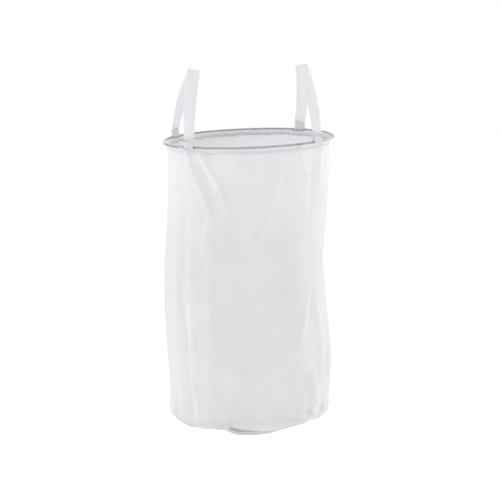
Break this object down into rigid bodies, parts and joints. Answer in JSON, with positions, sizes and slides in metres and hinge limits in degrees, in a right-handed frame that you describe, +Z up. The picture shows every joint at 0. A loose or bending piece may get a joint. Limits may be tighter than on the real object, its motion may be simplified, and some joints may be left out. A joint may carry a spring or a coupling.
{
  "type": "dust collector filter bag",
  "caption": "Woven cloth collection bag of a drum type dust collector, with a sewn round base, a spring wire hoop in its mouth and webbing loops to lift and hang it by.",
  "frame": {"origin": "centre of the wire hoop in the mouth, at the height of the wire's centre line", "axes": "+Z up out of the mouth, +X from the left loop to the right loop, so -Y is the front"},
  "size_m": [0.3545, 0.3572, 0.7324],
  "materials": {
    "cloth": "plain woven filter cloth, slightly see-through",
    "tape": "folded binding tape",
    "webbing": "flat woven strap",
    "steel": "drawn spring wire"
  },
  "bodies": {
    "mouth": {"wire_hoop": "steel", "mouth_hem": "cloth", "side_panel": "cloth", "left_strap_front_end": "webbing", "left_strap_back_end": "webbing", "right_strap_front_end": "webbing", "right_strap_back_end": "webbing"},
    "base": {"base_panel": "cloth", "base_binding": "tape"},
    "left_loop": {"left_strap_loop": "webbing"},
    "right_loop": {"right_strap_loop": "webbing"}
  },
  "joints": [
    {"name": "base_lift", "type": "slide", "parent": "mouth", "child": "base", "axis": [0, 0, 1], "range_m": [0, 0.49], "deforming": ["side_panel"]},
    {"name": "left_loop_swing", "type": "hinge", "parent": "mouth", "child": "left_loop", "pos_m": [-0.13771, -0.00721, 0.01011], "axis": [-0.0523, 0.9986, -0.0019], "range_deg": [-86, 66]},
    {"name": "right_loop_swing", "type": "hinge", "parent": "mouth", "child": "right_loop", "pos_m": [0.12367, -0.00432, 0.01939], "axis": [0.0349, 0.9994, 0.0012], "range_deg": [-71, 80]}
  ]
}
